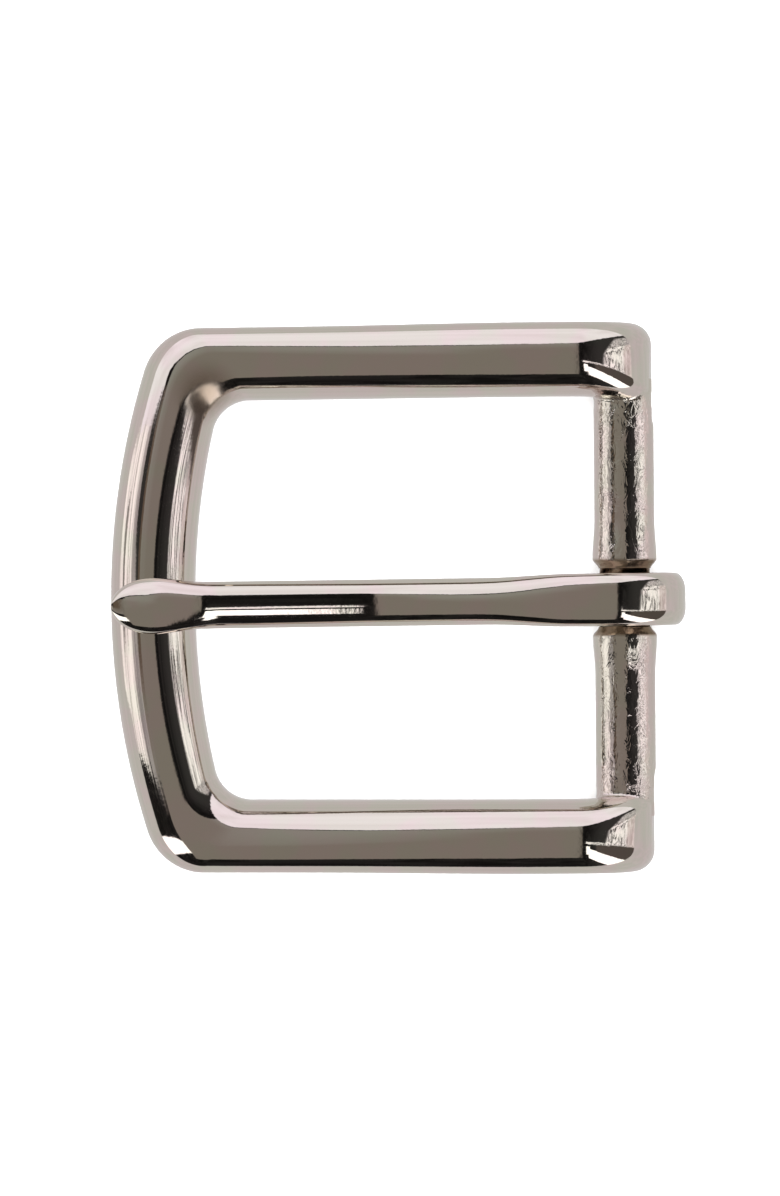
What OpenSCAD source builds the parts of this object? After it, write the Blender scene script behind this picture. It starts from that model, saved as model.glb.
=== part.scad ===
// Heel-bar belt buckle, lying on its back.
// +X runs from the bow to the heel, +Y along the bar, +Z up and out of the wearer.
// The origin is on the surface it lies on, under the middle of its outline.
// Two pieces: the frame is one casting with its bar, and the prong is closed round the bar's neck.

/* [Strap] */
// Clear width between the two rails
strap_gap = 40; // [39:0.5:41]
// Clear length of the window, from the bow to the bar
window_len = 40; // [39:0.5:41]

/* [Bow and rails] */
// Width of the bow at its middle
bow_w = 8.45; // [8:0.05:8.8]
// Radius of the bow's outer edge in plan
bow_outer_r = 78; // [74:1:82]
// Radius of the bow's inner edge in plan
bow_inner_r = 77; // [73:1:81]
// Width of each rail
rail_w = 7.25; // [6.9:0.05:7.5]
// Extra that each rail stands out at the heel
rail_flare = 0.15; // [0:0.05:0.3]
// Outer radius of the two bow corners in plan
corner_outer_r = 6; // [5:0.5:7]
// Inner radius of the two bow corners in plan
corner_inner_r = 3.8; // [3.2:0.2:4.4]
// Height of the bow above the surface
bow_h = 5.6; // [5.4:0.1:5.8]
// Thickness of the rails at the heel
rail_t = 5.2; // [4.8:0.1:5.3]

/* [Heel] */
// Radius that the top of each rail is turned down to at the heel
heel_r = 7.5; // [7.3:0.1:7.7]
// Height of the rails' tops above the surface, at the heel
heel_top = 10.9; // [10.7:0.1:11]
// Height of the heel's feet above the surface
foot_z = 1.6; // [1.4:0.1:1.6]
// Width of the bar, along X
bar_w = 6; // [5.6:0.1:6.2]
// Height of the bar, along Z
bar_h = 5.2; // [5:0.1:5.2]
// Height of the bar's axis above the surface
bar_z = 4.3; // [4.25:0.05:4.35]
// Diameter of the neck that the prong turns on
neck_d = 5; // [4.8:0.1:5.1]

/* [Prong] */
// Width of the prong's shank
shank_w = 4.7; // [4.4:0.1:4.9]
// Greatest width of the leaf-shaped tip
leaf_w = 5.6; // [5:0.1:6]
// Width of the prong round the neck
loop_w = 5.25; // [5:0.05:5.3]
// Thickness of the shank
shank_t = 2.3; // [2.1:0.05:2.35]
// Radial play of the loop on the neck
loop_play = 0.1; // [0.05:0.01:0.12]

/* [Hidden] */
nickel = [0.70, 0.67, 0.63];

// Where things lie along X.
overall_x = 57.6;
bow_x = -overall_x / 2;
bow_in_x = bow_x + bow_w;
bar_x = bow_in_x + window_len + bar_w / 2;
heel_inset = 0.15;
heel_x = bar_x + bar_w / 2 - heel_inset;
bend_x = heel_x - heel_r;
bend_z = heel_top - heel_r;
bow_mid_x = (bow_x + bow_in_x) / 2;

// Half the plan, on the +Y side: each edge is a line along the rail, a corner arc, then the bow's arc.
in_y = strap_gap / 2;
out_y = in_y + rail_w;
flare_from_x = -8;
flare_len = 22;
leg_in = 0.45;
bow_out_c = bow_x + bow_outer_r;
bow_in_c = bow_in_x + bow_inner_r;
function corner_x(c, r_bow, y, r) = c - sqrt(pow(r_bow - r, 2) - pow(y - r, 2));
function bow_angle(r_bow, y, r) = asin((y - r) / (r_bow - r));
out_cx = corner_x(bow_out_c, bow_outer_r, out_y, corner_outer_r);
in_cx = corner_x(bow_in_c, bow_inner_r, in_y, corner_inner_r);
out_a = bow_angle(bow_outer_r, out_y, corner_outer_r);
in_a = bow_angle(bow_inner_r, in_y, corner_inner_r);

// Steps along each stretch of the frame, and round each corner of a section.
bend_steps = 9;
rail_steps = 7;
corner_steps = 8;
bow_steps = 6;
section_steps = 5;
foot_r = 0.8;

function smooth(t) = let (s = min(1, max(0, t))) s * s * (3 - 2 * s);
function mix(a, b, t) = a + (b - a) * t;
// A cubic from (x0, z0) with slope m0 to (x1, z1) with slope m1.
function cubic(x, x0, z0, m0, x1, z1, m1) =
    let (l = x1 - x0, s = (x - x0) / l)
    (2 * s * s * s - 3 * s * s + 1) * z0 + (s * s * s - 2 * s * s + s) * l * m0
    + (3 * s * s - 2 * s * s * s) * z1 + (s * s * s - s * s) * l * m1;

// A quarter of an ellipse round (u, v), from the angle a.
function quarter(u, v, au, av, a, n) =
    [for (i = [0:n]) [u + au * cos(a + 90 * i / n), v + av * sin(a + 90 * i / n)]];
// A domed section from its inner edge, u = 0, to u = w, and from v = 0 to h.
// out_c and in_c are the width and height of its two upper corners.
function dome(w, h, out_c, in_c, foot, n) = concat(
    quarter(w - foot, foot, foot, foot, -90, 2),
    quarter(w - out_c[0], h - out_c[1], out_c[0], out_c[1], 0, n),
    quarter(in_c[0], h - in_c[1], in_c[0], in_c[1], 90, n),
    quarter(foot, foot, foot, foot, 180, 2));

// A solid through a list of sections that all have the same number of points.
module skin(sections) {
    n = len(sections[0]);
    m = len(sections);
    points = [for (s = sections) each s];
    sides = [for (i = [0:m - 2], j = [0:n - 1])
        let (a = i * n + j, b = i * n + (j + 1) % n)
        each [[a, b, b + n], [a, b + n, a + n]]];
    first = [[for (j = [n - 1:-1:0]) j]];
    last = [[for (j = [0:n - 1]) (m - 1) * n + j]];
    polyhedron(points, concat(first, sides, last), convexity = 6);
}

// The rails' tops fall from the heel to the bow, and are level at both ends.
// The bow is cast a little deep, and its underside is cut flat where it meets the surface.
land_cut = 0.3;
arch_drop = heel_top - bow_h;
arch_len = bend_x - bow_mid_x;
function top_z(x) = let (a = (bend_x - x) / arch_len) heel_top - arch_drop * a * a * (2 - a * a);
function thick(x) = mix(rail_t, bow_h + land_cut, smooth((bend_x - x) / arch_len));

// The size of a section's upper corners, as [outer, inner], each [width, height].
rail_c = [[3.3, 2.6], [3.6, 3.9]];
bow_c = [[4.05, 4], [4.05, 4]];
heel_c = [[2.2, 2.2], [0.9, 0.9]];

// One section of the frame between the plan points inner and outer.
function frame_section(inner, outer, c) =
    let (
        w = norm(outer - inner),
        d = (outer - inner) / w,
        x = (inner[0] + outer[0]) / 2,
        h = thick(x))
    [for (p = dome(w, h, c[0], c[1], foot_r, section_steps))
        [inner[0] + d[0] * p[0], inner[1] + d[1] * p[0], max(0, top_z(x) - h + p[1])]];

function rail_out(x) = out_y + rail_flare * smooth((x - flare_from_x) / flare_len);

// The turned-down end: a short foot, then sections that swing from upright to lying down.
foot_round = 0.4;
leg_w = rail_out(bend_x) - in_y + leg_in;
leg_y = in_y - leg_in;
function foot_section(z, inset) =
    [for (p = dome(leg_w - 2 * inset, bar_w - 2 * inset, heel_c[0], heel_c[1], foot_r, section_steps))
        [heel_x - bar_w + inset + p[1], leg_y + inset + p[0], z]];
foot_sections = [foot_section(foot_z, foot_round), foot_section(foot_z + foot_round, 0)];
bend_sections = [for (i = [0:bend_steps - 1])
    let (
        a = 90 - 90 * i / bend_steps,
        k = smooth(a / 90),
        t = mix(rail_t, bar_w, k),
        y0 = in_y - leg_in * k,
        c = mix(rail_c, heel_c, k))
    [for (p = dome(rail_out(bend_x) - y0, t, c[0], c[1], foot_r, section_steps))
        let (r = heel_r - t + p[1])
        [bend_x + r * sin(a), y0 + p[0], bend_z + r * cos(a)]]];
rail_sections = [for (i = [0:rail_steps])
    let (t = i / rail_steps, xo = mix(bend_x, out_cx, t), xi = mix(bend_x, in_cx, t))
    frame_section([xi, in_y], [xo, rail_out(xo)], rail_c)];
corner_sections = [for (i = [1:corner_steps])
    let (
        t = i / corner_steps,
        ao = 90 + (90 - out_a) * t,
        ai = 90 + (90 - in_a) * t,
        inner = [in_cx, in_y - corner_inner_r] + corner_inner_r * [cos(ai), sin(ai)],
        outer = [out_cx, out_y - corner_outer_r] + corner_outer_r * [cos(ao), sin(ao)])
    frame_section(inner, outer, mix(rail_c, bow_c, smooth(t)))];
bow_sections = [for (i = [1:bow_steps])
    let (
        t = i / bow_steps,
        ao = 180 - out_a * (1 - t),
        ai = 180 - in_a * (1 - t),
        inner = [bow_in_c, 0] + bow_inner_r * [cos(ai), sin(ai)],
        outer = [bow_out_c, 0] + bow_outer_r * [cos(ao), sin(ao)])
    frame_section(inner, outer, bow_c)];
half_frame = concat(foot_sections, bend_sections, rail_sections, corner_sections, bow_sections);
other_half = [for (i = [len(half_frame) - 2:-1:0]) [for (p = half_frame[i]) [p[0], -p[1], p[2]]]];

// The bar swells beside the neck, tapers down to it, and is filleted into the rails.
neck_half = 2.9;
taper_len = 0.9;
shoulder = 0.12;
swell = 0.2;
swell_len = 4;
fillet_r = 1.2;
bar_into_rail = 1.8;
bar_end = in_y + bar_into_rail;
bar_points = 28;
fillet_way = 135;
flush_from_y = 12;
flush_len = 6;
function fillet(y) = let (t = max(0, y - in_y + fillet_r) / fillet_r)
    y > in_y ? fillet_r * (1 - (y - in_y) / (bar_end - in_y)) : fillet_r * (1 - sqrt(1 - t * t));
function bar_swell(y) = swell * (1 - smooth((y - neck_half - taper_len) / swell_len));
// The fillet grows toward the window and upward; the heel's outer face stays flush.
function bar_section(y) =
    let (g = bar_swell(y), f = fillet(y), flush = smooth((y - flush_from_y) / flush_len))
    [for (i = [0:bar_points - 1])
        let (
            a = 360 * i / bar_points,
            grow = f * max(0, cos(a - fillet_way)),
            x = (bar_w / 2 + g + grow) * cos(a),
            widest = mix(bar_w, heel_x - bar_x - 0.05, flush))
        [bar_x + min(x, widest), y, bar_z + (bar_h / 2 + g + grow) * sin(a)]];
function neck_section(y, r) = [for (i = [0:bar_points - 1])
    let (a = 360 * i / bar_points)
    [bar_x + r * cos(a), y, bar_z + r * sin(a)]];
bar_ys = concat(
    [for (t = [0, 0.35, 0.7]) neck_half + taper_len + t * swell_len],
    [8, 12, 15, in_y - fillet_r],
    [for (t = [0.4, 0.7, 0.9, 1]) in_y - fillet_r * (1 - t)],
    [bar_end]);
half_bar = concat(
    [neck_section(neck_half, neck_d / 2 + shoulder)],
    [for (y = bar_ys) bar_section(y)]);

module neck() {
    translate([bar_x, 0, bar_z])
        rotate([90, 0, 0])
            cylinder(d = neck_d, h = 2 * (neck_half + taper_len), center = true, $fn = 72);
}

module frame() {
    color(nickel) {
        skin(concat(half_frame, other_half));
        skin(half_bar);
        mirror([0, 1, 0]) skin(half_bar);
        neck();
    }
}

// The prong's top in side view: nearly level over the bow, down a long ramp that eases to a dip in
// the window, up to the heel, and round it.
bore_r = neck_d / 2 + loop_play;
tip_inset = 0.2;
tip_x = bow_x + tip_inset;
seat_gap = 0.06;
peak_x = bow_mid_x + 1.4;
peak_z = bow_h + seat_gap + shank_t;
kink_x = -19.2;
kink_z = peak_z - 0.07;
level_end = -0.035;
ramp = -0.105;
ramp_end_x = -3.6;
ramp_end = -0.07;
ramp_end_z = kink_z + (ramp + ramp_end) / 2 * (ramp_end_x - kink_x);
dip_x = -1.4;
dip_z = ramp_end_z + ramp_end * (dip_x - ramp_end_x) / 2;
roll_r = 7;
roll_x = overall_x / 2 - roll_r;
roll_z = 3;
under_r = roll_z;
tail_wall = bar_z - bore_r;
tip_z = 6.9;
tip_t = 1.15;
tip_slope = 0.28;
tip_full = 0.2;
loop_grow = 0.35;
loop_grow_x = 8;
loop_grow_len = 10;
function prong_top(x) =
    x < peak_x ? cubic(x, tip_x, tip_z, tip_slope, peak_x, peak_z, 0)
    : x < kink_x ? cubic(x, peak_x, peak_z, 0, kink_x, kink_z, level_end)
    : x < ramp_end_x ? cubic(x, kink_x, kink_z, ramp, ramp_end_x, ramp_end_z, ramp_end)
    : x < dip_x ? cubic(x, ramp_end_x, ramp_end_z, ramp_end, dip_x, dip_z, 0)
    : cubic(x, dip_x, dip_z, 0, roll_x, roll_z + roll_r, 0);
function prong_thick(x) = mix(tip_t, shank_t, smooth((x - tip_x) / (peak_x - tip_x - tip_full)))
    + loop_grow * smooth((x - loop_grow_x) / loop_grow_len);

// Half the prong's width: a half ellipse at the nose, a leaf, the shank, then the wider loop.
nose_len = 4.3;
leaf_len = 4.8;
leaf_x = tip_x + nose_len;
leaf_end_x = leaf_x + leaf_len;
widen_from_x = 9;
widen_len = 8;
function half_width(x) =
    x < leaf_x ? leaf_w / 2 * sqrt(max(0.004, 1 - pow((leaf_x - x) / (leaf_x - tip_x), 2)))
    : x < leaf_end_x ? mix(leaf_w, shank_w, smooth((x - leaf_x) / (leaf_end_x - leaf_x))) / 2
    : mix(shank_w, loop_w, smooth((x - widen_from_x) / widen_len)) / 2;

// A prong section from the point low to the point high of its side view.
prong_toe = 0.45;
function prong_section(low, high, half, soft) =
    let (h = norm(high - low), d = (high - low) / h)
    [for (p = dome(2 * half, h, soft, soft, min(prong_toe, h / 5, half / 3), 4))
        [low[0] + d[0] * p[1], p[0] - half, low[1] + d[1] * p[1]]];
// The leaf and the loop are flat on top with soft edges; the shank between them is a full dome.
soft_w = 1.3;
soft_h = 1.1;
dome_w = 0.92;
dome_h = 0.78;
dome_from_x = kink_x - 1.5;
dome_from_len = 3;
dome_to_x = 6;
dome_to_len = 13;
function doming(x) =
    smooth((x - dome_from_x) / dome_from_len) * (1 - smooth((x - dome_to_x) / dome_to_len));
function soft_corner(x, half, h) = let (k = doming(x))
    [min(half * dome_w, mix(soft_w, half * dome_w, k)), min(h * dome_h, mix(soft_h, h * dome_h, k))];

nose_steps = 7;
shank_steps = 30;
loop_from = 3.4;
shank_end_x = bar_x - loop_from;
nose_xs = [for (i = [0:nose_steps - 1]) leaf_x - (leaf_x - tip_x) * cos(90 * i / nose_steps)];
shank_xs = [for (i = [0:shank_steps]) mix(leaf_x, shank_end_x, i / shank_steps)];
shank_sections = [for (x = concat(nose_xs, shank_xs))
    let (h = prong_thick(x), w = half_width(x))
    prong_section([x, prong_top(x) - h], [x, prong_top(x)], w, soft_corner(x, w, h))];

// Points round the outside of the loop, in side view: over the heel, under it, and up the tail.
tail_r = tail_wall + bore_r;
tail_from = -100;
tail_to = -208;
loop_outside = concat(
    [for (i = [0:10]) let (a = 90 - 9 * i) [roll_x + roll_r * cos(a), roll_z + roll_r * sin(a)]],
    [for (i = [1:5]) let (a = -18 * i)
        [roll_x + roll_r - under_r + under_r * cos(a), roll_z + under_r * sin(a)]],
    [for (i = [0:9]) let (a = mix(tail_from, tail_to, i / 9))
        [bar_x + tail_r * cos(a), bar_z + tail_r * sin(a)]]);
cut_in = 0.3;
loop_sections = [for (p = loop_outside)
    let (axis = [bar_x, bar_z], d = (p - axis) / norm(p - axis), low = axis + d * (bore_r - cut_in))
    prong_section(low, p, loop_w / 2, [soft_w, soft_h])];

module prong() {
    color(nickel)
        difference() {
            skin(concat(shank_sections, loop_sections));
            translate([bar_x, 0, bar_z])
                rotate([90, 0, 0])
                    cylinder(r = bore_r, h = 2 * loop_w, center = true, $fn = 64);
        }
}

frame();
prong();
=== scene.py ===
# %% [markdown]
# # A heel-bar belt buckle
# The buckle is a small zinc casting under bright nickel plate: a bowed frame with two arched rails, a
# bar at the heel that the strap folds round, and one prong that swings on the bar and rests across the
# bow. Polished nickel has almost no colour of its own. What the eye reads is the shape of the
# reflections, so this lesson spends its effort on two things: surfaces without a single facet, and a
# small studio for them to reflect.

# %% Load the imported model
import math

import bmesh
import bpy
from mathutils import Matrix, Vector


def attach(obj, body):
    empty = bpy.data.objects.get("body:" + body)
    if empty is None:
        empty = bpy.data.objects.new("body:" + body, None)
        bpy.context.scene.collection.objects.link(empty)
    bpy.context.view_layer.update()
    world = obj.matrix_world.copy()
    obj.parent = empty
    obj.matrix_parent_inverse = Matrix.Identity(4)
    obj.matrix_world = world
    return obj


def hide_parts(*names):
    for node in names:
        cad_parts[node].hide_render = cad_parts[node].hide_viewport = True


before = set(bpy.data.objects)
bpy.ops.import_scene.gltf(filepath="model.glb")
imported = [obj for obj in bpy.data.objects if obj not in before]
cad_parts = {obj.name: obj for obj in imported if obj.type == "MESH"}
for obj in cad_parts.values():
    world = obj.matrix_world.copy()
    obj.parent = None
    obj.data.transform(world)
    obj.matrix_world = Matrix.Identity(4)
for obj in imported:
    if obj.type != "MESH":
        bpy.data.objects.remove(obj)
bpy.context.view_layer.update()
scene = bpy.context.scene

# %% [markdown]
# ## Working in millimetres
# A buckle maker thinks in millimetres and Blender here works in metres, so every length below is written
# in millimetres and multiplied once, when a point is placed.
# smooth() eases from 0 to 1, which keeps one shape flowing into the next without a visible line.

# %% Small helpers
MM = 0.001


def smooth(t):
    t = min(1.0, max(0.0, t))
    return t * t * (3 - 2 * t)


def mix(a, b, t):
    return a + (b - a) * t


def mix_all(a, b, t):
    return tuple(mix(p, q, t) for p, q in zip(a, b))


def hermite(x, x0, z0, m0, x1, z1, m1):
    """A cubic from (x0, z0) with slope m0 to (x1, z1) with slope m1."""
    length = x1 - x0
    s = (x - x0) / length
    return (
        (2 * s**3 - 3 * s**2 + 1) * z0
        + (s**3 - 2 * s**2 + s) * length * m0
        + (3 * s**2 - 2 * s**3) * z1
        + (s**3 - s**2) * length * m1
    )


print("a quarter of the way along, smooth() has risen to", smooth(0.25))

# %% [markdown]
# ## One ring, pulled along a path
# A casting like this is drawn as a section that travels: the pattern maker files one domed section and
# carries it round the frame. A curve with a bevel object would do that for one fixed section, but this
# section changes from rail to bow and to heel. So it is a ring of edges, extruded again and again:
# bmesh.ops.extrude_edge_only copies the ring and joins copy to original with new faces, and then the
# copy is laid on its own section.

# %% Ring helpers
def place(ring, points):
    for vert, point in zip(ring, points):
        vert.co = Vector(point) * MM


def first_ring(bm, points):
    ring = bmesh.ops.create_circle(bm, cap_ends=False, segments=len(points), radius=1.0)["verts"]
    place(ring, points)
    return ring


def next_ring(bm, ring, points):
    count = len(ring)
    edges = [bm.edges.get((ring[i], ring[(i + 1) % count])) for i in range(count)]
    made = bmesh.ops.extrude_edge_only(bm, edges=edges)["geom"]
    fresh = {g for g in made if isinstance(g, bmesh.types.BMVert)}
    copy = [next(e.other_vert(v) for e in v.link_edges if e.other_vert(v) in fresh) for v in ring]
    place(copy, points)
    return copy


def cap(bm, ring):
    count = len(ring)
    edges = [bm.edges.get((ring[i], ring[(i + 1) % count])) for i in range(count)]
    bmesh.ops.holes_fill(bm, edges=edges, sides=0)


def pull(bm, sections, cap_start=True, cap_end=True):
    ring = first_ring(bm, sections[0])
    if cap_start:
        cap(bm, ring)
    for section in sections[1:]:
        ring = next_ring(bm, ring, section)
    if cap_end:
        cap(bm, ring)
    return ring


def finish_object(bm, name):
    bmesh.ops.recalc_face_normals(bm, faces=bm.faces)
    for face in bm.faces:
        face.smooth = True
    mesh = bpy.data.meshes.new(name)
    bm.to_mesh(mesh)
    bm.free()
    obj = bpy.data.objects.new(name, mesh)
    scene.collection.objects.link(obj)
    return obj


print("ring helpers:", ", ".join(f.__name__ for f in (first_ring, next_ring, cap, pull)))

# %% [markdown]
# ## The domed section
# The face of the frame is a dome, fuller toward the window than toward the rim, and the back is flat
# with a small edge. Bevelling a box would round both upper corners alike. Here each is a quarter of an
# ellipse with its own width and height, so one function serves the rails, the bow, the heel and the
# prong. u runs across the section from the window side, v runs up from the back.

# %% Section of the casting
def arc(u, v, width, height, start, steps, first=0):
    return [
        (u + width * math.cos(math.radians(start + 90 * i / steps)),
         v + height * math.sin(math.radians(start + 90 * i / steps)))
        for i in range(first, steps + 1)
    ]


def line(a, b, steps):
    return [mix_all(a, b, i / steps) for i in range(1, steps)]


def dome(w, h, outer, inner, foot, crown=20, toe=4):
    right = arc(w - foot, foot, foot, foot, -90, toe)
    top = arc(w - outer[0], h - outer[1], outer[0], outer[1], 0, crown)
    top += arc(inner[0], h - inner[1], inner[0], inner[1], 90, crown, first=1)
    left = arc(foot, foot, foot, foot, 180, toe)
    return (
        right + line(right[-1], top[0], 3) + top + line(top[-1], left[0], 3)
        + left + line(left[-1], right[0], 6)
    )


print("points round one section:", len(dome(8, 5, (3, 3), (3, 3), 0.5)))

# %% [markdown]
# ## The plan of the frame
# Seen from above, each edge of the half frame is a line along the rail, a corner arc, and the long arc
# of the bow. A hand-drawn Bezier curve could follow it, but arcs that touch give an even width with no
# kinks. The inner and the outer edge each have their own corner centre, found from the rule that a small
# circle inside a large one touches it when their centres lie the difference of the radii apart.

# %% Plan and heights
BOW_X, BOW_W = -28.8, 8.45
WINDOW, BAR_W, BAR_H = 40.0, 6.0, 5.2
INNER_Y, RAIL_W = 20.0, 7.25
OUTER_Y = INNER_Y + RAIL_W
BAR_X, BAR_Z = BOW_X + BOW_W + WINDOW + BAR_W / 2, 4.3
HEEL_X, HEEL_R, HEEL_TOP, FOOT_Z = BAR_X + BAR_W / 2 - 0.15, 7.5, 10.9, 1.6
BEND_X, BEND_Z = HEEL_X - HEEL_R, HEEL_TOP - HEEL_R
BOW_MID_X, BOW_H, RAIL_T, LAND_CUT = BOW_X + BOW_W / 2, 5.6, 5.2, 0.3
FOOT_R = 0.8
LEG_IN = 0.45
FLARE, FLARE_FROM_X, FLARE_LEN = 0.15, -8.0, 22.0

RAIL_DOME = (3.45, 2.7, 3.75, 3.95)
BOW_DOME = (4.15, 4.15, 4.2, 4.15)
HEEL_DOME = (2.2, 2.2, 0.9, 0.9)


def edge_arcs(bow_edge, bow_r, y, corner_r):
    centre = bow_edge + bow_r
    corner_x = centre - math.sqrt((bow_r - corner_r) ** 2 - (y - corner_r) ** 2)
    return centre, corner_x, math.degrees(math.asin((y - corner_r) / (bow_r - corner_r)))


OUT_R, IN_R, OUT_CORNER, IN_CORNER = 78.0, 77.0, 6.0, 3.8
OUT_C, OUT_CX, OUT_A = edge_arcs(BOW_X, OUT_R, OUTER_Y, OUT_CORNER)
IN_C, IN_CX, IN_A = edge_arcs(BOW_X + BOW_W, IN_R, INNER_Y, IN_CORNER)


def on_circle(cx, cy, r, angle):
    return (cx + r * math.cos(math.radians(angle)), cy + r * math.sin(math.radians(angle)))


def arch(x):
    """How far the frame has come from the heel, 0, to the middle of the bow, 1."""
    return (BEND_X - x) / (BEND_X - BOW_MID_X)


def top_z(x):
    fallen = arch(x) ** 2
    return HEEL_TOP - (HEEL_TOP - BOW_H) * fallen * (2 - fallen)


def thickness(x):
    return mix(RAIL_T, BOW_H + LAND_CUT, smooth(arch(x)))


def rail_outer(x):
    """The outer edge of a rail, which stands out a little more at the heel."""
    return OUTER_Y + FLARE * smooth((x - FLARE_FROM_X) / FLARE_LEN)


print(f"corner centres at x = {OUT_CX:.1f} and {IN_CX:.1f} mm")

# %% [markdown]
# ## Sections of the frame
# A flat section lies across the rail or the bow, a leg section is the same dome turned to face the heel,
# and the bend is every step between the two. One section swept along a curve would pinch in so tight a
# bend, so the section is turned about the bend's own centre instead.

# %% Sections from foot to bow
def flat_section(inner, outer, form):
    span = math.dist(inner, outer)
    du, dv = (outer[0] - inner[0]) / span, (outer[1] - inner[1]) / span
    x = (inner[0] + outer[0]) / 2
    high = thickness(x)
    base = top_z(x) - high
    return [
        (inner[0] + du * u, inner[1] + dv * u, max(0.0, base + v))
        for u, v in dome(span, high, form[:2], form[2:], FOOT_R)
    ]


def leg_section(z, inset):
    y = INNER_Y - LEG_IN
    wide = rail_outer(BEND_X) - y
    return [
        (HEEL_X - BAR_W + inset + v, y + inset + u, z)
        for u, v in dome(wide - 2 * inset, BAR_W - 2 * inset, HEEL_DOME[:2], HEEL_DOME[2:], FOOT_R)
    ]


def bend_section(angle):
    k = smooth(angle / 90)
    thick = mix(RAIL_T, BAR_W, k)
    y = INNER_Y - LEG_IN * k
    form = mix_all(RAIL_DOME, HEEL_DOME, k)
    s, c = math.sin(math.radians(angle)), math.cos(math.radians(angle))
    return [
        (BEND_X + (HEEL_R - thick + v) * s, y + u, BEND_Z + (HEEL_R - thick + v) * c)
        for u, v in dome(rail_outer(BEND_X) - y, thick, form[:2], form[2:], FOOT_R)
    ]


print("section just under the heel's bend:", len(leg_section(BEND_Z, 0)), "points")

# %% [markdown]
# ## Half of the casting
# The sections start under the heel's foot, climb the leg, swing through the bend, run down the arched
# rail, turn the corner and stop at the middle of the bow. The stations are close where the shape turns
# and far apart where it runs straight. The other half is its mirror image. A Mirror modifier would show
# the same, but bmesh.ops.mirror leaves plain mesh, which the bar can be joined to.

# %% Half the frame, mirrored
LEG_TOE = 0.5
TOE_STEPS, LEG_STEPS, BEND_STEPS, RAIL_STEPS, CORNER_STEPS, BOW_STEPS = 4, 4, 36, 48, 40, 36


def leg_and_bend():
    """The foot's rounded edge, the leg, and the swing from upright to lying down."""
    for i in range(TOE_STEPS):
        turn = math.radians(90 * i / TOE_STEPS)
        yield leg_section(FOOT_Z + LEG_TOE * (1 - math.cos(turn)), LEG_TOE * (1 - math.sin(turn)))
    for i in range(LEG_STEPS):
        yield leg_section(mix(FOOT_Z + LEG_TOE, BEND_Z, i / LEG_STEPS), 0)
    for i in range(BEND_STEPS):
        yield bend_section(90 - 90 * i / BEND_STEPS)


def rail_corner_and_bow():
    """Along the rail, round the corner, and to the middle of the bow."""
    for i in range(RAIL_STEPS):
        t = i / RAIL_STEPS
        xo, xi = mix(BEND_X, OUT_CX, t), mix(BEND_X, IN_CX, t)
        yield flat_section((xi, INNER_Y), (xo, rail_outer(xo)), RAIL_DOME)
    for i in range(CORNER_STEPS):
        t = i / CORNER_STEPS
        inner = on_circle(IN_CX, INNER_Y - IN_CORNER, IN_CORNER, 90 + (90 - IN_A) * t)
        outer = on_circle(OUT_CX, OUTER_Y - OUT_CORNER, OUT_CORNER, 90 + (90 - OUT_A) * t)
        yield flat_section(inner, outer, mix_all(RAIL_DOME, BOW_DOME, smooth(t)))
    for i in range(BOW_STEPS + 1):
        t = 1 - i / BOW_STEPS
        inner = on_circle(IN_C, 0, IN_R, 180 - IN_A * t)
        outer = on_circle(OUT_C, 0, OUT_R, 180 - OUT_A * t)
        yield flat_section(inner, outer, BOW_DOME)


def mirror_across_the_middle(bm):
    bmesh.ops.mirror(
        bm, geom=bm.verts[:] + bm.edges[:] + bm.faces[:],
        matrix=Matrix.Identity(4), merge_dist=1e-7, axis="Y",
    )


casting = bmesh.new()
sections = [*leg_and_bend(), *rail_corner_and_bow()]
pull(casting, sections, cap_end=False)
mirror_across_the_middle(casting)
frame_casting = finish_object(casting, "frame_casting")
print(len(sections), "sections,", len(frame_casting.data.polygons), "faces in the bow and rails")

# %% [markdown]
# ## The heel bar
# The bar is part of the same casting. It is nearly round, swells a little beside the prong, and drops
# to a narrower neck in the middle, which keeps the prong from sliding sideways. At each end it runs into
# the leg of the frame. Three cylinders end to end would leave steps, so the bar is pulled from rings too.

# %% Bar and neck
NECK_R, NECK_HALF, TAPER, SHOULDER = 2.5, 2.9, 0.95, 0.12
BAR_END = INNER_Y + 1.8
SWELL, SWELL_LEN = 0.2, 4.0
FLUSH_FROM_Y, FLUSH_LEN, FLUSH_IN = 12.0, 6.0, 0.05
RING, TAPER_STEPS, BAR_STEPS = 56, 12, 60


def bar_section(y):
    rise = smooth((y - NECK_HALF) / TAPER)
    swell = SWELL * (1 - smooth((y - NECK_HALF - TAPER) / SWELL_LEN))
    half_x = mix(NECK_R + SHOULDER, BAR_W / 2 + swell, rise)
    half_z = mix(NECK_R + SHOULDER, BAR_H / 2 + swell, rise)
    flush = mix(BAR_W, HEEL_X - BAR_X - FLUSH_IN, smooth((y - FLUSH_FROM_Y) / FLUSH_LEN))
    return [
        (BAR_X + min(half_x * math.cos(a), flush), y, BAR_Z + half_z * math.sin(a))
        for a in (2 * math.pi * i / RING for i in range(RING))
    ]


def neck_section(y):
    return [
        (BAR_X + NECK_R * math.cos(a), y, BAR_Z + NECK_R * math.sin(a))
        for a in (2 * math.pi * i / RING for i in range(RING))
    ]


TAPER_END = NECK_HALF + TAPER
bar_ys = [NECK_HALF + TAPER * i / TAPER_STEPS for i in range(TAPER_STEPS + 1)]
bar_ys += [TAPER_END + (BAR_END - TAPER_END) * i / BAR_STEPS for i in range(1, BAR_STEPS + 1)]
neck = [neck_section(y) for y in (0, 1.5, NECK_HALF)]
bar_bm = bmesh.new()
pull(bar_bm, neck + [bar_section(y) for y in bar_ys], cap_start=False)
mirror_across_the_middle(bar_bm)
bar = finish_object(bar_bm, "bar")
print(len(bar_ys), "stations in half of the bar")

# %% [markdown]
# ## One casting
# Bar and frame could just overlap, as two shells, but then nothing could be rounded where they meet. A
# Boolean modifier joins them into one skin, and its result is kept as plain mesh.

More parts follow.
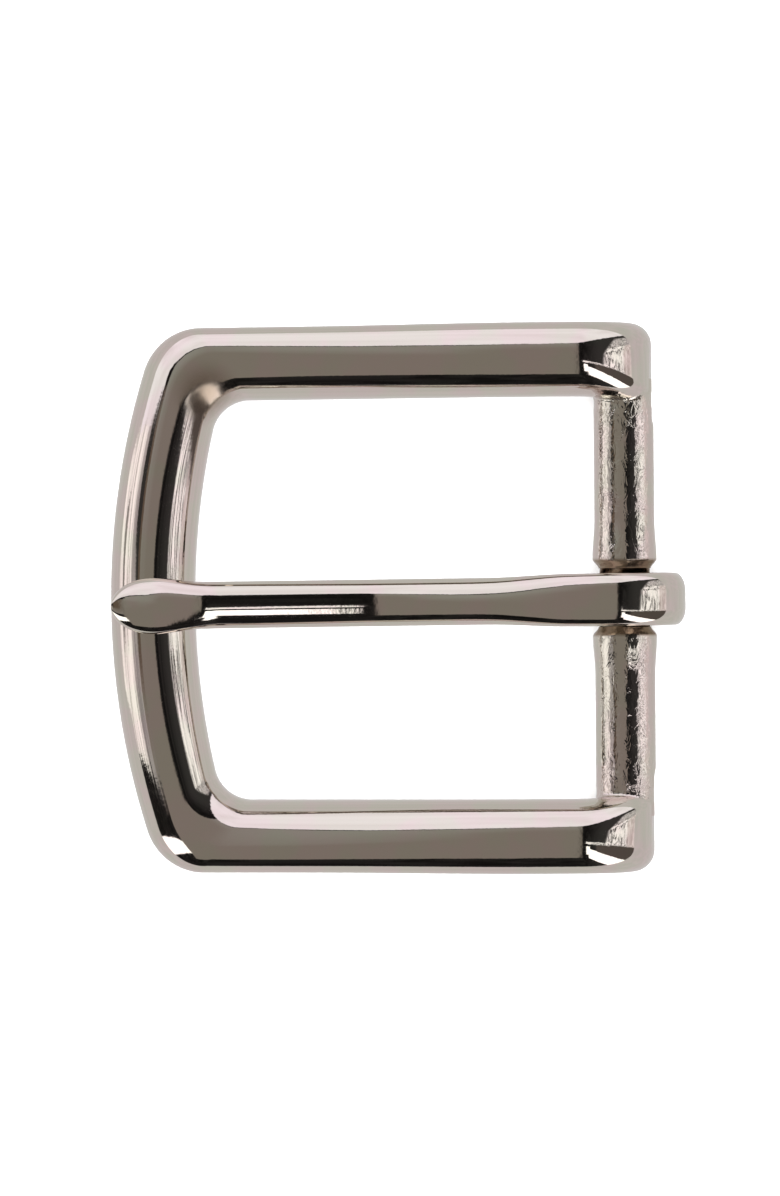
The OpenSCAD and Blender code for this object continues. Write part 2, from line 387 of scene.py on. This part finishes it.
# %% Join
join = frame_casting.modifiers.new("join", "BOOLEAN")
join.operation, join.solver, join.object = "UNION", "EXACT", bar
depsgraph = bpy.context.evaluated_depsgraph_get()
joined = bpy.data.meshes.new_from_object(frame_casting.evaluated_get(depsgraph))
frame_casting.modifiers.clear()
frame_casting.data = joined
bpy.data.objects.remove(bar)
print("faces after joining:", len(joined.polygons))

# %% [markdown]
# ## The fillet
# The join leaves a knife-sharp line, which no casting has. A Bevel modifier stumbles over the small
# uneven faces along it, so the points nearby are smoothed until the line becomes a small fillet.
# bmesh.ops.smooth_vert moves each point toward its neighbours.

# %% Fillet where the bar meets the legs
FILLET_REACH_X, FILLET_IN_Y, FILLET_OUT_Y, FILLET_TOP_Z, FILLET_PASSES = 4.2, 1.0, 0.45, 8.2, 10


def near_the_join(co):
    return (
        co.x > (BAR_X - FILLET_REACH_X) * MM
        and (INNER_Y - FILLET_IN_Y) * MM < abs(co.y) < (INNER_Y + FILLET_OUT_Y) * MM
        and co.z < FILLET_TOP_Z * MM
    )


fillet = bmesh.new()
fillet.from_mesh(joined)
bmesh.ops.remove_doubles(fillet, verts=fillet.verts, dist=1e-7)
near = [v for v in fillet.verts if near_the_join(v.co)]
for _ in range(FILLET_PASSES):
    bmesh.ops.smooth_vert(
        fillet, verts=near, factor=0.5, use_axis_x=True, use_axis_y=True, use_axis_z=True
    )
bmesh.ops.recalc_face_normals(fillet, faces=fillet.faces)
for face in fillet.faces:
    face.smooth = True
open_edges = sum(1 for e in fillet.edges if not e.is_manifold)
fillet.to_mesh(joined)
fillet.free()
joined.name = "frame_casting"
print("open edges after joining:", open_edges, "faces:", len(joined.polygons))

# %% [markdown]
# ## The prong
# The prong is one piece. From its leaf-shaped tip it lies level on the bow, runs down a straight ramp,
# climbs to the heel and rolls round the bar. Its side view could be one Bezier curve, but short cubics
# between named points can each be given the slope that they have on the real piece.

# %% Side view of the prong
BORE_R = NECK_R + 0.1
TIP_X, SHANK_T = BOW_X + 0.2, 2.3
PEAK_X, PEAK_Z = BOW_MID_X + 1.4, BOW_H + 0.06 + SHANK_T
KINK_X, RAMP_END_X, DIP_X = -19.2, -3.6, -1.4
LEVEL_END, RAMP, RAMP_END = -0.035, -0.105, -0.07
KINK_Z = PEAK_Z - 0.07
RAMP_END_Z = KINK_Z + (RAMP + RAMP_END) / 2 * (RAMP_END_X - KINK_X)
DIP_Z = RAMP_END_Z + RAMP_END * (DIP_X - RAMP_END_X) / 2
PRONG_END_X, ROLL_R, ROLL_Z = 28.8, 7.0, 3.0
ROLL_X = PRONG_END_X - ROLL_R
TAIL_R = BAR_Z
TIP_Z, TIP_SLOPE, TIP_T = 6.9, 0.28, 1.15
THICKER, THICKER_FROM_X, THICKER_LEN = 0.35, 8.0, 10.0


def prong_top(x):
    if x < PEAK_X:
        return hermite(x, TIP_X, TIP_Z, TIP_SLOPE, PEAK_X, PEAK_Z, 0)
    if x < KINK_X:
        return hermite(x, PEAK_X, PEAK_Z, 0, KINK_X, KINK_Z, LEVEL_END)
    if x < RAMP_END_X:
        return hermite(x, KINK_X, KINK_Z, RAMP, RAMP_END_X, RAMP_END_Z, RAMP_END)
    if x < DIP_X:
        return hermite(x, RAMP_END_X, RAMP_END_Z, RAMP_END, DIP_X, DIP_Z, 0)
    return hermite(x, DIP_X, DIP_Z, 0, ROLL_X, ROLL_Z + ROLL_R, 0)


def prong_thick(x):
    tip = mix(TIP_T, SHANK_T, smooth((x - TIP_X) / (PEAK_X - TIP_X - 0.2)))
    return tip + THICKER * smooth((x - THICKER_FROM_X) / THICKER_LEN)


print("the prong's highest point on the bow is", round(prong_top(PEAK_X), 2), "mm up")

# %% [markdown]
# ## Leaf, shank and loop
# In plan the tip is a leaf that narrows to the shank, and the shank widens again at the loop. The leaf
# and the loop are flat on top with soft shoulders, and the shank between them is a full dome. A Boolean
# could cut the leaf from a wide bar, but it would leave creases that show in the polish, so the width
# and the shoulders are smooth functions of the place along the prong.

# %% Plan and shoulders of the prong
LEAF_W, SHANK_W, LOOP_W = 5.6, 4.7, 5.25
LEAF_X = TIP_X + 4.3
LEAF_END_X = LEAF_X + 4.8
WIDEN_FROM_X, WIDEN_LEN = 9.0, 8.0
LEAF_FALL_NEAR, LEAF_FALL_FAR, SHANK_FALL = 1.15, 1.6, 1.85
FALL_FROM_X, FALL_LEN = KINK_X - 1.5, 3.0
LOOP_SIDE, LOOP_SIDE_FROM_X, LOOP_SIDE_LEN = (1.8, 1.1), 6.0, 13.0
NOSE_LEN, NOSE_ACROSS, NOSE_FALL = 3.8, 0.62, 0.6
LEAF_ACROSS = NOSE_ACROSS + 0.34


def half_width(x):
    if x < LEAF_X:
        return LEAF_W / 2 * math.sqrt(max(0.0, 1 - ((LEAF_X - x) / (LEAF_X - TIP_X)) ** 2))
    if x < LEAF_END_X:
        return mix(LEAF_W, SHANK_W, smooth((x - LEAF_X) / (LEAF_END_X - LEAF_X))) / 2
    return mix(SHANK_W, LOOP_W, smooth((x - WIDEN_FROM_X) / WIDEN_LEN)) / 2


def shoulder(x, half, high, leaf_fall):
    """How far the rounded shoulder reaches across the prong and down its side."""
    past_nose = smooth((x - TIP_X) / NOSE_LEN)
    fall = mix(leaf_fall, SHANK_FALL, smooth((x - FALL_FROM_X) / FALL_LEN))
    fall *= mix(NOSE_FALL, 1, past_nose)
    to_loop = smooth((x - LOOP_SIDE_FROM_X) / LOOP_SIDE_LEN)
    across = mix(half * mix(NOSE_ACROSS, LEAF_ACROSS, past_nose), LOOP_SIDE[0], to_loop)
    return (across, min(high * 0.8, mix(fall, LOOP_SIDE[1], to_loop)))


def prong_section(low, high, half, near_side, far_side):
    tall = math.dist(low, high)
    dx, dz = (high[0] - low[0]) / tall, (high[1] - low[1]) / tall
    toe = min(0.4, tall / 6, half / 3)
    return [
        (low[0] + dx * v, u - half, low[1] + dz * v)
        for u, v in dome(2 * half, tall, far_side, near_side, toe, crown=14, toe=4)
    ]


def upright_section(x):
    tall, half = prong_thick(x), half_width(x)
    near_side, far_side = [shoulder(x, half, tall, fall) for fall in (LEAF_FALL_NEAR, LEAF_FALL_FAR)]
    return prong_section((x, prong_top(x) - tall), (x, prong_top(x)), half, near_side, far_side)


print("the prong is", round(2 * half_width(0), 2), "mm wide in the middle of the window")

# %% [markdown]
# ## Round the bar
# The real prong is bent from a blank, and a Simple Deform modifier could bend one here, but its loop
# would come out only nearly round. Instead the rings stand upright along the shank and then fan out from
# the bar's axis, so that the inside of the loop is a true cylinder.

# %% Rings of the prong
TIP_STEPS, SHANK_STEPS, CREST_STEPS, ROLL_STEPS, UNDER_STEPS, TAIL_STEPS = 20, 130, 8, 30, 14, 26
FIRST_RING, TAIL_FROM, TAIL_TO, EASE_STEPS = 3, -94, -205, 12
SHANK_END = BAR_X - 3.4
PRONG_TURN, PRONG_SHIFT = math.radians(0.4), (-0.01 * MM, -0.2 * MM, 0)


def tip_and_shank():
    """Upright sections, closer together where the leaf is rounding off."""
    for i in range(TIP_STEPS):
        angle = math.radians(FIRST_RING + (90 - FIRST_RING) * i / TIP_STEPS)
        yield upright_section(LEAF_X - (LEAF_X - TIP_X) * math.cos(angle))
    for i in range(SHANK_STEPS + 1):
        yield upright_section(mix(LEAF_X, SHANK_END, i / SHANK_STEPS))


def outside_of_loop():
    """The outer line of the loop, from the end of the shank round to its tail."""
    for i in range(1, CREST_STEPS + 1):
        x = mix(SHANK_END, ROLL_X, i / CREST_STEPS)
        yield x, prong_top(x)
    for i in range(1, ROLL_STEPS + 1):
        yield on_circle(ROLL_X, ROLL_Z, ROLL_R, 90 - 90 * i / ROLL_STEPS)
    for i in range(1, UNDER_STEPS + 1):
        yield on_circle(PRONG_END_X - ROLL_Z, ROLL_Z, ROLL_Z, -90 * i / UNDER_STEPS)
    for i in range(TAIL_STEPS + 1):
        yield on_circle(BAR_X, BAR_Z, TAIL_R, mix(TAIL_FROM, TAIL_TO, i / TAIL_STEPS))


def fan_of_sections():
    """Sections that stand on the bore and point away from the bar's axis."""
    low_start = (SHANK_END, prong_top(SHANK_END) - prong_thick(SHANK_END))
    for i, high in enumerate(outside_of_loop()):
        away = math.dist(high, (BAR_X, BAR_Z))
        low = (
            BAR_X + (high[0] - BAR_X) * BORE_R / away,
            BAR_Z + (high[1] - BAR_Z) * BORE_R / away,
        )
        if i < EASE_STEPS:
            low = mix_all(low_start, low, smooth((i + 1) / (EASE_STEPS + 1)))
        yield prong_section(low, high, LOOP_W / 2, LOOP_SIDE, LOOP_SIDE)


prong_bm = bmesh.new()
pull(prong_bm, [*tip_and_shank(), *fan_of_sections()])
loop_centre = Vector((BAR_X, 0, BAR_Z)) * MM
a_little = Matrix.Rotation(PRONG_TURN, 3, "Z")
bmesh.ops.rotate(prong_bm, verts=prong_bm.verts, cent=loop_centre, matrix=a_little)
bmesh.ops.translate(prong_bm, verts=prong_bm.verts, vec=PRONG_SHIFT)
prong = finish_object(prong_bm, "hinged_prong")
print("prong faces:", len(prong.data.polygons))

# %% [markdown]
# ## Bright nickel
# Nickel is a warm grey metal, and its plate carries marks at several sizes. They could be painted on an
# image, but noise needs no unwrapping and stays sharp close up. These helpers each make one node of the
# material and join it up, so that the recipe below reads like a recipe.

# %% Material helpers
def add(nodes, kind, **settings):
    node = nodes.new(kind)
    for key, value in settings.items():
        setattr(node, key, value)
    return node


def sums(nodes, links, operation, a, b=None):
    """One Math node; a and b are each a number or another node's output."""
    node = add(nodes, "ShaderNodeMath", operation=operation)
    for socket, value in zip(node.inputs, (a, b)):
        if isinstance(value, (int, float)):
            socket.default_value = value
        elif value is not None:
            links.new(value, socket)
    return node.outputs[0]


def ramp_between(nodes, links, value, low, high, to_low=0.0, to_high=1.0):
    """A soft step: to_low where the value is low, to_high where it is high."""
    node = add(nodes, "ShaderNodeMapRange", interpolation_type="SMOOTHSTEP")
    links.new(value, node.inputs["Value"])
    for key, number in (("From Min", low), ("From Max", high), ("To Min", to_low), ("To Max", to_high)):
        node.inputs[key].default_value = number
    return node.outputs["Result"]


def noise(nodes, links, vector, scale, detail=3.0, rough=0.5, distort=0.0):
    node = add(nodes, "ShaderNodeTexNoise")
    links.new(vector, node.inputs["Vector"])
    node.inputs["Scale"].default_value = scale
    node.inputs["Detail"].default_value = detail
    node.inputs["Roughness"].default_value = rough
    node.inputs["Distortion"].default_value = distort
    return node.outputs["Fac"]


print("noise sizes below are per metre: 1000 makes patches about a millimetre across")

# %% [markdown]
# ## The plate
# The plate shows faint drifts toward green and toward pink, and a haze of polishing marks. On the bar,
# which the polishing wheel can't reach, it shows the rippled skin of the casting. The neck beside the
# prong and one inner corner of the bow are rougher, and there the base colour is painted darker and
# brownish: painted shade in the groove and in the corner, which also dims what they reflect. A second
# material for those places would end in a hard line, so they are faded in by masks. Base colour,
# roughness and bump each read Object coordinates, so the pattern stays with the piece.

# %% Nickel plate
GREENISH, PINKISH = (0.640, 0.602, 0.526, 1), (0.668, 0.582, 0.540, 1)
# Painted shade: the dark brown that the base colour is mixed toward in the neck groove beside the prong
# and in one inner bow corner.
PAINTED_SHADE_BROWN = (0.31, 0.235, 0.17, 1)
GLOSSY, HAZY = 0.035, 0.075
WAVE_HEIGHT, GRAIN_HEIGHT, RIPPLE_HEIGHT = 0.010, 0.0020, 0.08
BAR_FROM_X, BAR_TO_Y, NECK_TO_Y = (0.0184, 0.0194), (0.0204, 0.0198), (0.0040, 0.0036)
MORE_RIPPLE_Y, MORE_RIPPLE = (0.0150, 0.0185), 2.0
# Centre, fade and strength of the painted shade in one inner bow corner, which the same mask also makes
# rougher.
SATIN_AND_SHADED_CORNER, CORNER_FADE = (-0.0190, 0.0206, 0.0056), (0.0004, 0.0040)
CORNER_PAINTED_SHADE, NECK_ROUGHER, CORNER_ROUGHER = 0.85, 0.15, 0.22


def nickel(name, cast=False):
    mat = bpy.data.materials.new(name)
    mat.use_nodes = True
    nodes, links = mat.node_tree.nodes, mat.node_tree.links
    shader = nodes["Principled BSDF"]
    shader.inputs["Metallic"].default_value = 1.0
    place_of = add(nodes, "ShaderNodeTexCoord").outputs["Object"]

    def ramp(*args):
        return ramp_between(nodes, links, *args)

    def times(a, b):
        return sums(nodes, links, "MULTIPLY", a, b)

    def plus(a, b):
        return sums(nodes, links, "ADD", a, b)

    drift = noise(nodes, links, place_of, 260, detail=2)
    tint = add(nodes, "ShaderNodeMix", data_type="RGBA")
    tint.inputs["A"].default_value = GREENISH
    tint.inputs["B"].default_value = PINKISH
    links.new(ramp(drift, 0.4, 0.6), tint.inputs["Factor"])
    colour = tint.outputs["Result"]

    haze = noise(nodes, links, place_of, 900, detail=5, rough=0.6)
    rough = ramp(haze, 0.35, 0.75, GLOSSY, HAZY)
    wave = noise(nodes, links, place_of, 220, detail=1)
    grain = noise(nodes, links, place_of, 2600, detail=1)
    height = plus(times(wave, WAVE_HEIGHT), times(grain, GRAIN_HEIGHT))
    if cast:
        xyz = add(nodes, "ShaderNodeSeparateXYZ")
        links.new(place_of, xyz.inputs[0])
        across = sums(nodes, links, "ABSOLUTE", xyz.outputs["Y"])
        on_bar = times(ramp(xyz.outputs["X"], *BAR_FROM_X), ramp(across, *BAR_TO_Y))
        along = add(nodes, "ShaderNodeMapping")
        links.new(place_of, along.inputs["Vector"])
        along.inputs["Scale"].default_value = (1.0, 0.5, 1.0)
        ripple = noise(nodes, links, along.outputs[0], 1000, detail=3, rough=0.6, distort=0.6)
        on_bar = times(on_bar, ramp(across, *MORE_RIPPLE_Y, 1.0, MORE_RIPPLE))
        height = plus(height, times(times(ripple, on_bar), RIPPLE_HEIGHT))
        # Painted shade: the base colour is mixed toward dark brown in the neck groove beside the prong
        # and round one inner bow corner, and the same masks make both places rougher.
        on_neck = times(on_bar, ramp(across, *NECK_TO_Y))
        from_corner = add(nodes, "ShaderNodeVectorMath", operation="DISTANCE")
        links.new(place_of, from_corner.inputs[0])
        from_corner.inputs[1].default_value = SATIN_AND_SHADED_CORNER
        corner_satin_and_shade = ramp(from_corner.outputs["Value"], *CORNER_FADE, CORNER_PAINTED_SHADE, 0.0)
        painted_shade_mix = add(nodes, "ShaderNodeMix", data_type="RGBA")
        links.new(sums(nodes, links, "MAXIMUM", on_neck, corner_satin_and_shade), painted_shade_mix.inputs["Factor"])
        links.new(colour, painted_shade_mix.inputs["A"])
        painted_shade_mix.inputs["B"].default_value = PAINTED_SHADE_BROWN
        colour = painted_shade_mix.outputs["Result"]
        rough = plus(rough, times(on_neck, NECK_ROUGHER))
        rough = plus(rough, times(corner_satin_and_shade, CORNER_ROUGHER))
    links.new(colour, shader.inputs["Base Color"])
    links.new(rough, shader.inputs["Roughness"])
    bump = add(nodes, "ShaderNodeBump")
    bump.inputs["Distance"].default_value = 0.001
    links.new(height, bump.inputs["Height"])
    links.new(bump.outputs["Normal"], shader.inputs["Normal"])
    print(name, "has", len(nodes), "nodes")
    return mat


frame_casting.data.materials.append(nickel("nickel_casting", cast=True))
prong.data.materials.append(nickel("nickel_prong"))
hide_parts("frame")
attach(frame_casting, "frame")
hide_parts("prong")
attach(prong, "prong")

# %% [markdown]
# ## A studio for a mirror
# A polished piece shows its surroundings, so the surroundings are the picture. Glowing planes could
# stand round the buckle, but each would have to be aimed at the face that mirrors it. So the cards are
# painted on the world, which is laid out as a mirror ball seen from above: east is how far a surface
# leans toward the heel and north how far it leans toward +Y, both as the tangent of the lean.

# %% World helpers
world = bpy.data.worlds.new("studio")
scene.world = world
world.use_nodes = True
wn, wl = world.node_tree.nodes, world.node_tree.links
wn.clear()
toward = add(wn, "ShaderNodeTexCoord").outputs["Generated"]
split = add(wn, "ShaderNodeSeparateXYZ")
wl.new(toward, split.inputs[0])
below = sums(wn, wl, "MAXIMUM", sums(wn, wl, "ADD", split.outputs["Z"], 1.0), 0.02)
east = sums(wn, wl, "DIVIDE", split.outputs["X"], below)
north = sums(wn, wl, "DIVIDE", split.outputs["Y"], below)


def fade(value, low, high, *to):
    return ramp_between(wn, wl, value, low, high, *to)


def spread(east_by, north_by):
    """Mirror-ball coordinates for a noise, stretched where a number is small."""
    node = add(wn, "ShaderNodeCombineXYZ")
    wl.new(sums(wn, wl, "MULTIPLY", east, east_by), node.inputs[0])
    wl.new(sums(wn, wl, "MULTIPLY", north, north_by), node.inputs[1])
    return node.outputs[0]


crumple = noise(wn, wl, spread(1.0, 0.35), 16, detail=4, rough=0.6, distort=1.2)
sparkle = noise(wn, wl, spread(1.0, 0.6), 22, detail=4, rough=0.65, distort=1.5)
slow = noise(wn, wl, spread(1.0, 1.0), 3, detail=2)
ragged = sums(wn, wl, "ADD", north, fade(crumple, 0.3, 0.7, -0.008, 0.008))
print("world nodes for the coordinates and noises:", len(wn))

# %% [markdown]
# ## One card
# An image of the studio would be quicker to paint, but cards made of numbers can be moved one at a time
# and stay sharp. Each card is laid over the ones before it. Its straight edges are given as
# a, b, c: the card is where a * east + b * north + c is above zero.

# %% One card
def side(edge, soft):
    """1 on the inner side of one straight, slightly ragged edge, 0 on the other."""
    a, b, c = edge
    total = sums(wn, wl, "ADD", sums(wn, wl, "MULTIPLY", east, a), sums(wn, wl, "MULTIPLY", ragged, b))
    return fade(sums(wn, wl, "ADD", total, c), -soft, soft)


def blend(mask, under, over):
    """Two colours, or outputs of nodes, mixed by a mask."""
    node = add(wn, "ShaderNodeMix", data_type="RGBA", clamp_result=False)
    wl.new(mask, node.inputs["Factor"])
    for socket, colour in ((node.inputs["A"], under), (node.inputs["B"], over)):
        if isinstance(colour, tuple):
            socket.default_value = (*colour, 1)
        else:
            wl.new(colour, socket)
    return node.outputs["Result"]


def card(under, colour, *edges, soft=0.010):
    """Lay one card over what is already there."""
    mask = side(edges[0], soft)
    for edge in edges[1:]:
        mask = sums(wn, wl, "MULTIPLY", mask, side(edge, soft))
    return blend(mask, under, colour)


print("a card needs one mask for each of its edges")

# %% [markdown]
# ## Tones and foils
# A card is either one flat tone or a sheet of crumpled foil. Foil could be modelled as creased mesh, but
# all that shows of it is bright and dark patches, so two tones mixed by a noise are enough. How far
# apart the noise's two limits lie decides whether the foil glitters or only looks cloudy.

# %% Tones
BLACK, SOOT, DUSK = (0.007, 0.0065, 0.0065), (0.026, 0.025, 0.025), (0.045, 0.044, 0.044)
GREY, PALE_GREY = (0.278, 0.253, 0.229), (0.350, 0.348, 0.325)
SOFTBOX, SOFTBOX_DIM = (1.27, 1.25, 1.36), (1.10, 1.06, 1.14)
STRIP, WORN = (2.2, 2.2, 2.2), (0.36, 0.35, 0.34)
SLAB, NAVY, SHADE = (0.112, 0.096, 0.088), (0.045, 0.044, 0.042), (0.155, 0.118, 0.090)
PAPER, WARM_PAPER = (0.680, 0.688, 0.680), (0.745, 0.715, 0.735)

glitter = blend(fade(sparkle, 0.42, 0.55), (0.10, 0.095, 0.095), (1.45, 1.43, 1.46))
dim_foil = blend(fade(sparkle, 0.36, 0.62), (0.26, 0.25, 0.25), (0.95, 0.93, 0.96))
grey_foil = blend(fade(crumple, 0.38, 0.58), (0.34, 0.32, 0.33), (0.62, 0.59, 0.60))
bright_foil = blend(fade(crumple, 0.36, 0.56), (0.60, 0.58, 0.57), (1.45, 1.42, 1.42))
hazy_foil = blend(fade(sparkle, 0.38, 0.58), (0.62, 0.55, 0.55), (1.08, 1.00, 1.02))
flag = blend(fade(crumple, 0.35, 0.70), BLACK, SOOT)
flag = blend(fade(east, 0.05, 0.32), flag, DUSK)
softbox = blend(fade(slow, 0.35, 0.70), SOFTBOX, SOFTBOX_DIM)
print("world nodes with the foils:", len(wn))

# %% [markdown]
# ## North, south and east
# The black flag is laid first, so it is what remains wherever nothing covers it, mostly in the south. A
# large soft box stands in the north. The east, which the bar and the heel mirror, is foil of several
# kinds with a dark slab and two narrow white strips over it.

# %% Cards in the north and east
sky = card(flag, softbox, (-0.45, 1, -0.31), (-0.33, 1, -0.31))
sky = card(sky, softbox, (-1, 0, -0.38), (0.22, 1, -0.01))
sky = card(sky, dim_foil, (1, -0.40, -0.37), (0.10, 1, 0.09), (0.33, -1, 0.28), soft=0.035)
sky = card(sky, glitter, (1, -0.40, -0.38), (0.10, 1, 0.09), (0.20, -1, 0.06), soft=0.02)
sky = card(sky, hazy_foil, (1, 0, -0.76), (0.10, 1, 0.09), (0.20, -1, 0.06), soft=0.03)
sky = card(sky, SLAB, (1, 0, -0.20), (-0.05, -1, -0.10), (0.80, 1, 0.13), soft=0.02)
sky = card(sky, glitter, (1, 0, -0.06), (-1, 0, 0.40), (0.10, 1, 0.10), (-0.10, -1, -0.045))
sky = card(sky, STRIP, (1, 0, -0.105), (-0.80, -1, -0.13), (1.4, 1, 0.35))
sky = card(sky, STRIP, (1, 0, -0.072), (-1, 0, 0.115), (0, -1, -0.165), (0, 1, 0.38), soft=0.008)
print("world nodes with the north and east:", len(wn))

# %% [markdown]
# ## West
# The bow mirrors the west: foil between the soft box and the flag, grey toward the middle and bright
# further out. Over it lie flat grey, a brown shade and a dark line that run along the bow, and one worn
# grey patch just above the horizon.

# %% Cards in the west
WEST = ((-1, 0, -0.30), (-0.19, 1, 0.02), (-0.22, -1, 0.01))
west_foil = blend(fade(east, -0.55, -0.61), grey_foil, bright_foil)
sky = card(sky, west_foil, *WEST, soft=0.005)
sky = card(sky, WORN, (-1, 0, -0.875), (1, 0, 0.99), (0, -1, 0.13), (0, 1, 0.05))
sky = card(sky, GREY, (1, 0, 0.40), *WEST, soft=0.02)
sky = card(sky, SHADE, (1, 0, 0.38), (0, 1, 0.04), *WEST, soft=0.02)
sky = card(sky, NAVY, (-1, 0, -0.355), (1, 0, 0.475), (0.6, 1, 0.24), *WEST, soft=0.015)
print("world nodes with the west:", len(wn))

# %% [markdown]
# ## Overhead and paper
# Straight above is the grey of the room, and beyond it in the south-west lies one more white strip.
# Below the horizon is white paper, with a sheet of bright foil on it that puts a sparkle into the outer
# edge of the bow.

# %% Room, last strip and paper
lean = sums(wn, wl, "SUBTRACT", north, sums(wn, wl, "MULTIPLY", east, 0.8))
lean = sums(wn, wl, "ADD", lean, fade(slow, 0.3, 0.7, -0.08, 0.08))
room = blend(fade(lean, 0.10, 0.40), GREY, PALE_GREY)
sky = card(sky, room, (-1, 0, 0.025), (1, 0, 0.30), (0.45, -1, 0.31), (0, 1, 0.49))
sky = card(sky, STRIP, (0.41, -1, -0.073), (-0.85, 1, 0.075), (-1, 0, -0.30))

paper_tint = blend(fade(slow, 0.40, 0.65), PAPER, WARM_PAPER)
paper_tint = card(paper_tint, bright_foil, (-1, 0, -1.0), (1, 0, 1.22), (0, -1, 0.25), (0, 1, 0.15))
sky = blend(fade(split.outputs["Z"], 0.012, -0.012), sky, paper_tint)

glow = add(wn, "ShaderNodeBackground")
wl.new(sky, glow.inputs["Color"])
out = add(wn, "ShaderNodeOutputWorld")
wl.new(glow.outputs[0], out.inputs["Surface"])
world.cycles_visibility.diffuse = False
print("world nodes:", len(wn))

# %% [markdown]
# ## Floor and light
# The floor is a wide sheet of matt white paper, exposed until it is pure white, with one broad sun above
# that casts almost no shadow. Both are hidden from reflections: the world's own paper, below its
# horizon, is what the nickel mirrors, at the tone a metal gives back. Without a floor the buckle would
# float, and a lit floor that the nickel could see would change every tone in it.

# %% Floor
floor_bm = bmesh.new()
bmesh.ops.create_grid(floor_bm, x_segments=2, y_segments=2, size=6.0)
floor = finish_object(floor_bm, "floor")
paper = bpy.data.materials.new("matt_paper")
paper.use_nodes = True
paper_shader = paper.node_tree.nodes["Principled BSDF"]
paper_shader.inputs["Base Color"].default_value = (0.86, 0.86, 0.86, 1)
paper_shader.inputs["Roughness"].default_value = 1.0
paper_shader.inputs["Specular IOR Level"].default_value = 0.0
floor.data.materials.append(paper)
floor.visible_glossy = False

sun_data = bpy.data.lights.new("broad_sun", "SUN")
sun_data.energy = 10.5
sun_data.angle = math.radians(110)
sun = bpy.data.objects.new("broad_sun", sun_data)
sun.visible_glossy = False
scene.collection.objects.link(sun)

# %% [markdown]
# ## Camera
# The view is straight down. An orthographic camera would draw it too, but a long lens keeps the trace of
# perspective that a real one has. It stands far enough away that the rails don't splay. The picture is
# 78 mm wide, and the buckle is turned less than half a degree in it.

# %% Camera
camera_data = bpy.data.cameras.new("camera")
camera = bpy.data.objects.new("camera", camera_data)
scene.collection.objects.link(camera)
scene.camera = camera
DISTANCE, VIEW_HEIGHT = 0.60, 0.1189
SENSOR = 36
camera_data.sensor_width = SENSOR
camera_data.lens = SENSOR * DISTANCE / VIEW_HEIGHT
camera_data.clip_start = 0.01
camera.location = (-0.0008, 0.0001, DISTANCE + 0.007)
camera.rotation_euler = (0, 0, math.radians(-0.4))
scene.view_settings.view_transform = "Standard"
